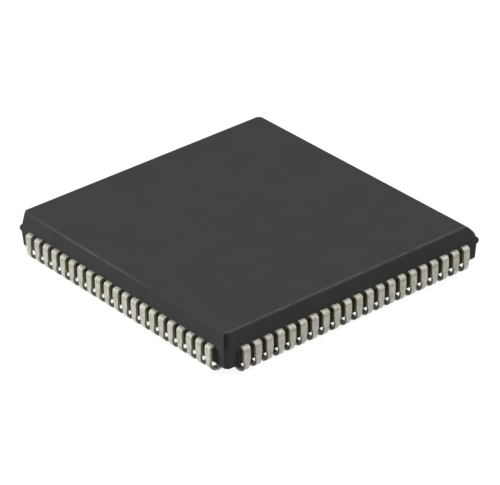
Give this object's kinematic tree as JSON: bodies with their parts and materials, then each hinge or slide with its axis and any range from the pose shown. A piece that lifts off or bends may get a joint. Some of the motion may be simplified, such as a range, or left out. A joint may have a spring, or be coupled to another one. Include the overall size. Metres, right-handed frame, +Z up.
{
  "type": "plastic leaded chip carrier",
  "caption": "Square moulded chip carrier with J-shaped leads on all four sides and a bevelled index edge, soldered flat to a circuit board or pressed into a socket.",
  "frame": {"origin": "centre of the seating plane, under the feet of the leads", "axes": "+Z up through the top face, +Y towards the bevelled index edge; the picture shows the -Y and +X sides"},
  "size_m": [0.0302, 0.0302, 0.0043],
  "materials": {
    "moulding": "fine matte moulding, dark warm grey",
    "plating": "satin tin-lead plating with faint drawing marks",
    "frame_copper": "bare stamped copper alloy",
    "adhesive": "silver-filled adhesive",
    "silicon": "polished opaque silicon",
    "gold": "drawn gold wire"
  },
  "bodies": {
    "root": {"moulded_body": "moulding", "leads_front": "plating", "leads_right": "plating", "leads_back": "plating", "leads_left": "plating", "die_paddle": "frame_copper", "die_attach": "adhesive", "die": "silicon", "bond_wires_front": "gold", "bond_wires_right": "gold", "bond_wires_back": "gold", "bond_wires_left": "gold"}
  },
  "joints": []
}
